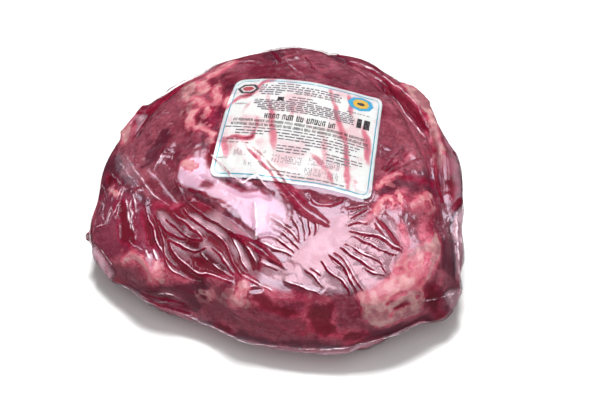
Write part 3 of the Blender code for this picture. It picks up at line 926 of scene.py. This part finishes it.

# Creases with juice in them, whose dark line is partly painted shade, and dry ones: half width and height in mm,
# and how milky the folded film is, its crest line partly a painted highlight.
WET_CREASES = {
    "pleats": [
        (1.2, 2.4, 0.3, "190,203 199,210 221,224 242,238 256,248 268,256 284,266"),
        (1.2, 2, 0.5, "184,209 196,220 208,229 221,237 228,247 232,259 238,270 244,277"),
        (1, 1.2, 0.4, "174,214 187,223 202,237 204,240"),
        (1, 1.2, 0.3, "167,218 180,229 189,236 199,240 204,240"),
        (1.1, 1.5, 0.3, "160,220 165,228 173,235 188,239"),
        (1.1, 1.8, 0.5, "169,240 180,244 191,249 200,250 207,247 / 201,250 207,257 216,264 226,271 233,277"),
        (1.2, 2.4, 0.7, "169,241 174,251 184,261 194,269 204,274 216,276 226,280 232,282"),
        (1.1, 2, 0.6, "148,200 148,212 154,227 157,241 164,252 167,262 174,270 184,275 202,281"),
        (1, 1.6, 0.3, "156,214 161,229 165,244 166,253 171,261 180,268"),
        (1, 1.8, 0.6, "230,231 236,241 241,252 243,262 248,270"),
        (1, 1.8, 0.5, "233,232 243,241 251,251 256,261 254,269"),
        (0.9, 1.3, 0.4, "213,247 222,256 229,266 235,274"),
    ],
    "label crease": [
        (0.9, 1.2, 0.25, "243,141 252,151 262,160 274,174 285,187 296,200 306,210 317,217 327,223"),
        (0.9, 1, 0.25, "281,192 292,203 303,213 316,222"),
        (0.9, 1, 0.2, "270,165 284,182 298,197 310,207 324,216"),
    ],
    "fan": [
        (1, 1.8, 0.45, "349,230 362,233 375,235 383,239 392,245 402,251"),
        (0.9, 1.3, 0.35, "351,234 363,240 374,246 386,251 397,254"),
        (1, 1.6, 0.45, "341,246 352,255 362,261 373,269"),
        (0.9, 1.2, 0.35, "346,242 357,249 368,255 380,261 387,272"),
        (1, 1.8, 0.45, "330,254 338,260 345,268 352,280 357,291"),
        (0.9, 1.3, 0.35, "336,252 344,259 351,269 357,280 364,290"),
        (1, 1.5, 0.45, "323,261 329,271 340,278 347,286 350,294"),
        (0.9, 1.3, 0.35, "366,268 373,273 386,275"),
        (0.9, 1.2, 0.35, "306,269 316,277 324,286 / 311,267 322,275"),
        (0.9, 1.4, 0.45, "372,218 378,227 386,238"),
        (1, 1.6, 0.45, "377,216 384,227 392,238 403,248"),
        (0.9, 1.3, 0.35, "347,209 357,207 368,205 / 352,217 360,213 368,209 / 349,225 358,223 367,223"),
        (0.9, 1.5, 0.45, "270,217 280,222 291,231 301,241"),
        (0.9, 1.3, 0.45, "275,226 285,234 294,243 299,247"),
    ],
    "knot and curls": [
        (0.8, 1.1, 0.35,
            "293,216 298,227 301,238 / 302,217 305,228 306,239 / 309,218 311,229 308,239 / 315,218 317,228 "
            "313,238"),
        (0.9, 1.4, 0.45, "257,239 267,236 277,238 285,244 294,251"),
        (0.9, 1.4, 0.55, "259,242 272,247 284,251 292,255"),
        (0.9, 1.5, 0.55, "257,248 268,255 277,262 285,267"),
        (0.8, 1.1, 0.45, "260,260 270,265 278,269"),
        (0.9, 1.4, 0.6, "243,275 256,282 268,288 274,292 / 285,280 303,286 322,294"),
    ],
    "other folds": [
        (0.9, 1.4, 0.2, "309,193 313,201 320,205 332,205 341,202 344,197"),
        (0.9, 1.1, 0.5, "434,323 444,312 456,300"),
        (0.9, 1.1, 0.4, "428,326 440,319 452,309"),
        (1.1, 1.7, 0.4, "134,140 143,128 158,109 183,88 198,79 236,60"),
        (0.9, 1.4, 0.3, "176,180 181,187 184,195 190,203"),
        (0.9, 1.4, 0.6, "91,235 99,227 108,224"),
    ],
    "top": [
        (0.9, 1.2, 0.5, "254,57 268,51 286,48 304,47 / 300,51 318,51 334,54 344,59"),
        (0.8, 1, 0.3, "268,57 275,61 280,70 / 304,59 310,65 320,72 / 240,63 250,62 262,64 / 286,60 294,70 306,76"),
        (0.8, 1, 0.5, "343,66 352,63 364,68 374,73"),
    ],
    "shoulder": [
        (1.1, 2, 0.4, "324,54 345,62 360,66 375,73 388,82 404,95 417,108 425,121 430,132"),
        (0.9, 1.4, 0.3, "360,72 378,80 385,88 394,101"),
        (1, 1.6, 0.6, "385,97 396,103 404,116 413,125 420,133 426,138"),
        (1, 1.6, 0.4, "430,131 432,144 435,158 436,180 440,202"),
    ],
}
DRY_CREASES = {
    "loops": [
        (0.9, 1.3, 0.8, "211,156 219,162 230,174 241,183 250,180 257,177 266,186"),
        (0.9, 1.3, 0.5, "247,288 254,286 263,287 262,292 254,294 248,292"),
    ],
    "streak in the sheen": [(1.2, 0.7, 0.9, "255,203 256,214 257,226 256,240")],
    "left": [
        (1, 1.6, 0.4, "125,152 133,166 142,179 151,191 161,200 172,208"),
        (0.8, 1.1, 0.6, "127,199 129,209 130,219 131,229 / 132,199 131,208 134,214 132,221 134,230 137,239"),
        (0.8, 0.9, 0.5, "133,195 136,204 137,213 / 112,212 110,218 108,224"),
        (0.8, 0.9, 0.4,
            "100,180 106,191 109,201 / 121,202 115,213 110,224 / 129,240 136,246 144,251 / 100,248 106,254 "
            "113,264 116,271 / 102,200 105,208 104,218"),
        (0.8, 0.9, 0.6,
            "123,188 120,194 118,200 / 125,189 123,194 121,200 / 147,250 149,254 151,259 / 154,250 156,255 "
            "158,260"),
        (0.8, 0.9, 0.3, "137,193 140,191 143,189"),
        (0.9, 1.1, 0.3, "117,159 127,172 138,187 / 109,170 118,180 127,193"),
        (1, 1.5, 0.2, "138,120 156,103 183,81 190,77 220,64"),
        (1.1, 1.4, 0.5, "167,149 161,159 155,171"),
    ],
    "front": [
        (0.9, 1.3, 0.4, "423,300 435,298 447,293 457,289"),
        (0.9, 1.3, 0.5, "150,303 160,301 170,300 181,302"),
        (0.9, 1.2, 0.4, "158,292 170,293 179,297"),
    ],
    "right wing": [(1, 1.6, 0.5, "452,214 455,230 456,250 457,272 457,290")],
    "left tip": [(0.9, 4, 0, "92,232 91,236 92,240")],
    "hem": [
        (1, 1.6, 0.55,
            "112,276 124,288 136,294 147,302 158,306 172,310 / 290,347 320,348 345,346 378,341 404,333 432,324 "
            "452,312"),
        (1, 1.6, 0.5, "170,309 188,315 206,322 224,330 246,340 268,344 300,347"),
    ],
}

# Juice held in tight folds and hollows, dark red lines partly painted shade there: half width in mm and strength.
JUICE_AND_SHADE_THREADS = {
    "over the label": (0.75, 1,
        "247,144 260,154 273,168 285,182 298,195 309,206 321,216 328,222 / 245,147 255,157 268,171 281,187 "
        "293,201 304,212 316,221 328,226"),
    "over the label, third": (0.6, 0.9, "286,196 297,208 308,217 320,224"),
    "beside the loop": (0.45, 0.25, "214,158 223,166 234,178 242,184"),
    "between the knot's folds": (1.1, 1, "234,236 246,239 258,244 270,254 281,264"),
    "upper fan, between": (1, 0.9, "380,222 388,233 398,245"),
    "left tip": (2.4, 1, "92,231 90,236 92,241"),
    "hollow, front left": (0.8, 0.9, "140,292 155,297 170,299 186,304 / 148,301 160,306 176,309 190,313"),
    "right of the label": (0.6, 0.6, "383,173 397,163 412,150 / 386,175 404,166 421,158"),
    "right of the label, third": (0.5, 0.5, "384,170 393,158 402,148"),
    "fold at the top, left": (0.9, 0.9, "270,50 276,56 281,63"),
    "fold at the top, middle": (0.7, 0.8, "305,57 310,65 318,72"),
    "fold at the top, right": (0.9, 0.9, "333,52 341,58 352,67"),
    "taut edge": (0.8, 1, "141,129 157,110 171,98 184,86 198,79"),
    "taut edge, outer": (0.7, 0.9, "150,107 166,94 183,82 192,78"),
    "inside the shoulder": (1.2, 1, "384,86 396,93 407,104 417,116 425,127"),
    "down the right side": (1, 0.9, "432,134 435,150 436,170 438,190 441,204"),
    "right edge": (1.4, 0.8, "449,156 455,166 458,180 456,196 450,212"),
    "foot of the sheen": (0.8, 0.8, "180,184 190,190 204,194 216,200"),
    "under the label": (1, 0.9, "221,180 232,185 246,190 255,189"),
    "under the label, right": (0.8, 0.9, "257,187 263,191 270,194"),
}

# Crinkled zones: the pixel of the middle, a pixel along the wrinkles, the reach, spacing and height in mm, and how
# drawn out the wrinkles are.
CRINKLES = {
    "left flank": ((110, 212), (114, 262), 26, 4.6, 0.9, 7),
    "left, under the taut line": ((128, 165), (150, 195), 18, 4.0, 0.9, 5),
    "left of the pleats": ((142, 215), (146, 245), 14, 4.6, 0.4, 9),
    "top left": ((160, 125), (190, 98), 22, 5.0, 0.7, 5),
    "pleats": ((210, 245), (240, 268), 26, 4.0, 0.4, 8),
    "knot": ((278, 256), (300, 268), 16, 3.2, 0.8, 5),
    "fan, right": ((368, 248), (392, 262), 20, 3.4, 0.4, 12),
    "fan, lower": ((342, 272), (356, 292), 18, 3.4, 0.4, 12),
    "fan, left": ((298, 226), (308, 240), 12, 2.8, 0.7, 5),
    "fan, middle": ((322, 238), (334, 226), 15, 2.4, 0.32, 2),
    "fan, foot": ((288, 270), (300, 262), 14, 2.6, 0.25, 2),
    "below the label": ((350, 206), (372, 204), 14, 2.8, 0.9, 4),
    "right of the label": ((404, 150), (425, 130), 20, 4.5, 0.15, 6),
    "right, under the shoulder": ((398, 215), (410, 236), 16, 3.6, 0.9, 4),
    "right side": ((450, 230), (454, 280), 26, 5.5, 0.8, 7),
    "shoulder": ((400, 95), (425, 125), 22, 3.6, 0.6, 7),
    "low on the front": ((235, 322), (280, 336), 30, 3.8, 0.5, 5),
    "front corner": ((410, 318), (398, 296), 18, 3.4, 0.5, 6),
    "front left": ((135, 285), (160, 305), 18, 4.0, 0.6, 4),
    "top edge": ((300, 58), (345, 62), 30, 5.0, 0.8, 5),
}

# Where the film clings so wet to the meat that it mirrors little.
CLINGING = {
    "round the fan":
        "396,226 402,219 408,232 411,245 405,253 398,246 / 421,214 431,215 433,232 428,243 420,241 417,226 / "
        "378,196 400,190 412,192 410,206 398,212 382,208 / 262,284 280,289 304,291 330,297 330,303 300,302 "
        "270,298",
    "beside the sheen":
        "194,199 213,205 231,217 246,231 258,248 250,252 236,238 218,224 202,213 / 225,179 246,183 270,193 "
        "262,197 244,193 230,186",
    "left flank": "97,200 110,190 126,191 140,200 149,212 155,238 158,254 144,254 122,262 104,262 96,244 94,220",
    "label crease": "239,140 250,141 280,171 306,200 300,208 270,182 244,154",
}


def sharp_crests(waves):
    """Noise values as crests, 1 where the noise crosses nought."""
    return np.clip(1 - 4.5 * np.abs(waves), 0, 1) ** 1.5


def beside(points, line, reach):
    """Which of the film's points lie round a line, their gap to it, and how the line tapers off there."""
    close = np.linalg.norm(film_co - line.mean(0), axis=1) < np.ptp(line, 0).max() + reach
    gap, along = line_gap(points[close], line)
    return close, gap, np.sin(math.pi * (0.04 + 0.92 * along)) ** 0.45


threads = [(width, strength, curve_through(run)) for width, strength, run in each_run(JUICE_AND_SHADE_THREADS.values())]
film_lines, before = [], [(0, 0)]
for group, rows in (WET_CREASES | DRY_CREASES).items():
    for *crease, run in each_run(rows):
        film_lines.append((*crease, curve_through(run)))
        if group in WET_CREASES:
            shifted = [(x + WICK_AND_SHADE_SHIFT[0], y + WICK_AND_SHADE_SHIFT[1]) for x, y in run]
            threads.append((WICK_AND_SHADE_WIDTH * crease[0] ** 2, WICK_AND_SHADE_STRENGTH, curve_through(shifted)))
        if group == "fan":
            if math.dist(before[0], run[0]) < FAN_STEP:
                between = curve_through([((a + c) / 2, (b + d) / 2) for (a, b), (c, d) in zip(before, run)])
                film_lines.append((*FAN_FINE, between))
                threads.append((*FAN_JUICE_AND_SHADE_THREAD, between))
            before = run

film = skin.copy()
film_co, film_no = places(film)
near = np.full(len(film_co), np.inf)
for *_, line in film_lines:
    close, gap, _ = beside(film_co, line, THREAD_REACH)
    near[close] = np.minimum(near[close], gap)
film.verts.index_update()
quads = [f for f in film.faces if len(f.verts) == 4]
quads.sort(key=lambda f: max(near[v.index] for v in f.verts))
edges = list({e for f in quads[:FINE_FACES] for e in f.edges})
bmesh.ops.subdivide_edges(film, edges=edges, cuts=1, use_grid_fill=True)
bmesh.ops.triangulate(film, faces=[f for f in film.faces if len(f.verts) > 4])
film.normal_update()
film_co, film_no = places(film)

warped = film_co + 0.9 * np.stack([unevenness(film_co, 6, k) for k in (11, 12, 13)], 1)
ridge, milk_and_highlight, wick_and_shade, crinkle, crinkle_milk_and_highlight = np.zeros((5, len(film_co)))
# Each crease lifts a ridge and lays a milky line on its crest, partly a painted highlight.
for width, height, milky_and_highlit, line in film_lines:
    close, gap, taper = beside(warped, line, CREASE_REACH)
    soft_gap = np.sqrt(gap**2 + 0.09) - 0.3
    skirt = 0.55 * np.exp(-soft_gap / width) + 0.45 * np.exp(-soft_gap / (3.2 * width))
    ridge[close] = np.maximum(ridge[close], height * taper * skirt)
    milk_and_highlight[close] = np.maximum(milk_and_highlight[close], milky_and_highlit * taper * np.exp(-((gap / CREST_WIDTH) ** 2)))
# Dark lines of juice beside the creases and in the folds, partly painted shade.
for width, strength, line in threads:
    close, gap, taper = beside(warped, line, THREAD_REACH)
    wick_and_shade[close] = np.maximum(wick_and_shade[close], strength * taper * np.exp(-((gap / width) ** 2)))
for k, (middle, along, reach, spacing, height, drawn) in enumerate(CRINKLES.values()):
    middle, along = np.array(on_skin(middle)), np.array(on_skin(along))
    along = (along - middle) / np.linalg.norm(along - middle)
    offset = film_co - middle
    fade = np.exp(-((np.linalg.norm(offset, axis=1) / reach) ** 2))
    here = fade > 0.04
    squeezed = offset[here] + np.outer(offset[here] @ along * (1 / drawn - 1), along)
    crests = np.maximum(
        sharp_crests(unevenness(squeezed, spacing, 40 + k)),
        0.7 * sharp_crests(unevenness(squeezed, spacing * 0.6, 70 + k)),
    )
    crinkle[here] = np.maximum(crinkle[here], height * fade[here] * crests)
    crinkle_milk_and_highlight[here] = np.maximum(crinkle_milk_and_highlight[here], min(height, 1) * fade[here] * crests**2)

# All over the bag the shrinking left a finer net of wrinkles, and gathers run under the pack near the table.
net = np.maximum(sharp_crests(unevenness(film_co, 8, 90)), sharp_crests(unevenness(film_co, 5, 91)) * 0.6)
net *= 0.25 + ease(unevenness(film_co, 30, 92), -0.1, 0.25) * 0.45
bearing = np.arctan2(film_co[:, 1], film_co[:, 0])
around = np.stack([np.cos(bearing) * 60, np.sin(bearing) * 60, film_co[:, 2] * 0.25], 1)
gathers = sharp_crests(unevenness(around, 4, 93)) * ease(-film_co[:, 2], -32, -6)
gathers *= 0.35 + 0.65 * ease(-(film_no @ np.array(VIEW_BACK)), -0.3, 0.2)

# The film tents over the label's edge and comes down on the meat a few mm outside it.
corners = [(-0.5, -0.5), (0.5, -0.5), (0.5, 0.5), (-0.5, 0.5)]
label_rim = np.array([
    on_label(*rounded(LABEL_WIDTH * (a + (c - a) * t), LABEL_HEIGHT * (b + (d - b) * t)))
    for (a, b), (c, d) in zip(corners, corners[1:] + corners[:1])
    for t in np.linspace(0, 1, RIM_STEPS)
])
over_label = ease(patch_depth(film_co, label_rim), -2.0, 0.3)

calm = ease(deepest(film_co, PALE_MEMBRANE_AND_SHEEN), -2, 4)
pucker = unevenness(film_co, 10, 21) + unevenness(film_co, 4.5, 22) * 0.4 + 0.5
small_folds = (PUCKER_HEIGHT * pucker + net * 0.6 + gathers * 1.1) * (1 - 0.75 * np.maximum(over_label, calm))
rise = FILM_GAP + LABEL_CLEARANCE * over_label + np.maximum(ridge, crinkle * (1 - 0.7 * calm)) + small_folds
rise -= groove_depth(film_co) * (1 - over_label)
film_places = film_co + film_no * rise[:, None]
film_places[:, 2] = np.maximum(film_places[:, 2], 0.02)
web_and_sheen = HEM_WEB * ease(-film_co[:, 2], -HEM_HEIGHT, -1.5)
for _, milky_and_highlit, outline in each_run(FILM_WEBS_AND_SHEEN.values()):
    web_and_sheen = np.maximum(web_and_sheen, milky_and_highlit * ease(depth_in(film_co, outline), -1.5, 2.5))
milk_and_highlight = np.maximum(milk_and_highlight, CRINKLE_MILK_AND_HIGHLIGHT * crinkle_milk_and_highlight * (1 - over_label))
wet = 0.45 * calm
for patches, low_depth, high_depth in ((JUICE_AND_SHADE_POOLS, -3, 3), (FAT_PATCHES, -3, 1), (CLINGING, -1.5, 2)):
    wet = np.maximum(wet, ease(deepest(film_co, patches), low_depth, high_depth))
film_mesh = finish_mesh("shrink_film", film, film_places, {"milk_and_highlight": milk_and_highlight, "web_and_sheen": web_and_sheen, "wet": wet, "wick_and_shade": wick_and_shade})

# Polyethylene shrink film: clear and glossy, so it shows mostly by what it mirrors, and most at a slant. Where
# juice lies against it, its inner face mirrors nothing. Where it is folded tight, it turns a little milky; that
# milk is partly a painted highlight on crests and facets and a painted sheen over the fan. Its dark red lines
# beside the creases are juice and partly painted shade.
MIRROR_SHARE, EDGE_SHARE, MILK_AND_HIGHLIGHT_SHARE, JUICE_AND_SHADE_SHARE, WET_LOSS, LINE_LOSS = 0.4, 0.3, 0.85, 0.8, 0.31, 0.7

shrink_film, tree = new_material("clear shrink film")
slant = add_node(tree, "LayerWeight", Blend=0.5)["Facing"]
milky_and_highlit = scaled(tree, frayed(tree, "milk_and_highlight"), (mottling(tree, 4, 3, 0.6), 0.38, 0.6, 0.5, 1.05))
milky_and_highlit = scaled(tree, 1.0, (milky_and_highlit, 0.06, 0.62))
bloody_and_shaded = scaled(tree, frayed(tree, "wick_and_shade"), (mottling(tree, 5, 3), 0.3, 0.5, 0.3, 1.0))
webbed_and_sheen = scaled(tree, frayed(tree, "web_and_sheen"), (mottling(tree, 9, 2), 0.35, 0.65, 0.6, 1.2))
mirror = blended(tree, MIRROR_SHARE, (frayed(tree, "wet"), -WET_LOSS))
mirror = scaled(tree, mirror, (slant, 0.7, 0.97, 1.0, EDGE_SHARE))
lines = add_node(tree, "Math", {"operation": "ADD", "use_clamp": True}, milky_and_highlit, bloody_and_shaded)[0]
mirror = add_node(tree, "Math", "MULTIPLY", mirror, blended(tree, 1.0, (lines, -LINE_LOSS)))[0]
alpha = blended(tree, mirror, (milky_and_highlit, MILK_AND_HIGHLIGHT_SHARE), (bloody_and_shaded, JUICE_AND_SHADE_SHARE))
alpha = add_node(tree, "Math", {"operation": "ADD", "use_clamp": True}, alpha, webbed_and_sheen)[0]
mirrored = add_node(
    tree, "Math", {"operation": "DIVIDE", "use_clamp": True},
    mirror, add_node(tree, "Math", "MAXIMUM", alpha, 0.01)[0],
)[0]
# Painted highlight and shade: a pale milky tone on crests and facets, dark red beside the creases.
tone = layered(
    tree, "#f3e8fc", (webbed_and_sheen, 0.0, 0.2, "#d8b2c1"), (milky_and_highlit, 0.0, 0.3, "#efd2dd"), (bloody_and_shaded, 0.0, 0.14, "#6c0c28")
)
bump = add_node(tree, "Bump", Strength=0.15, Distance=0.4 * MM, Height=mottling(tree, 2.6, 2))[0]
cover(tree, Base_Color=tone, Metallic=mirrored, Roughness=0.2, Alpha=alpha, Normal=bump)
film_piece = new_piece("shrink_film", film_mesh, shrink_film)
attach(film_piece, "root")
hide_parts("sealed_pack")

skin.free()

size = {"cad": [list(corner) for corner in cad_bounds], "visual": [list(corner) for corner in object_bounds()]}
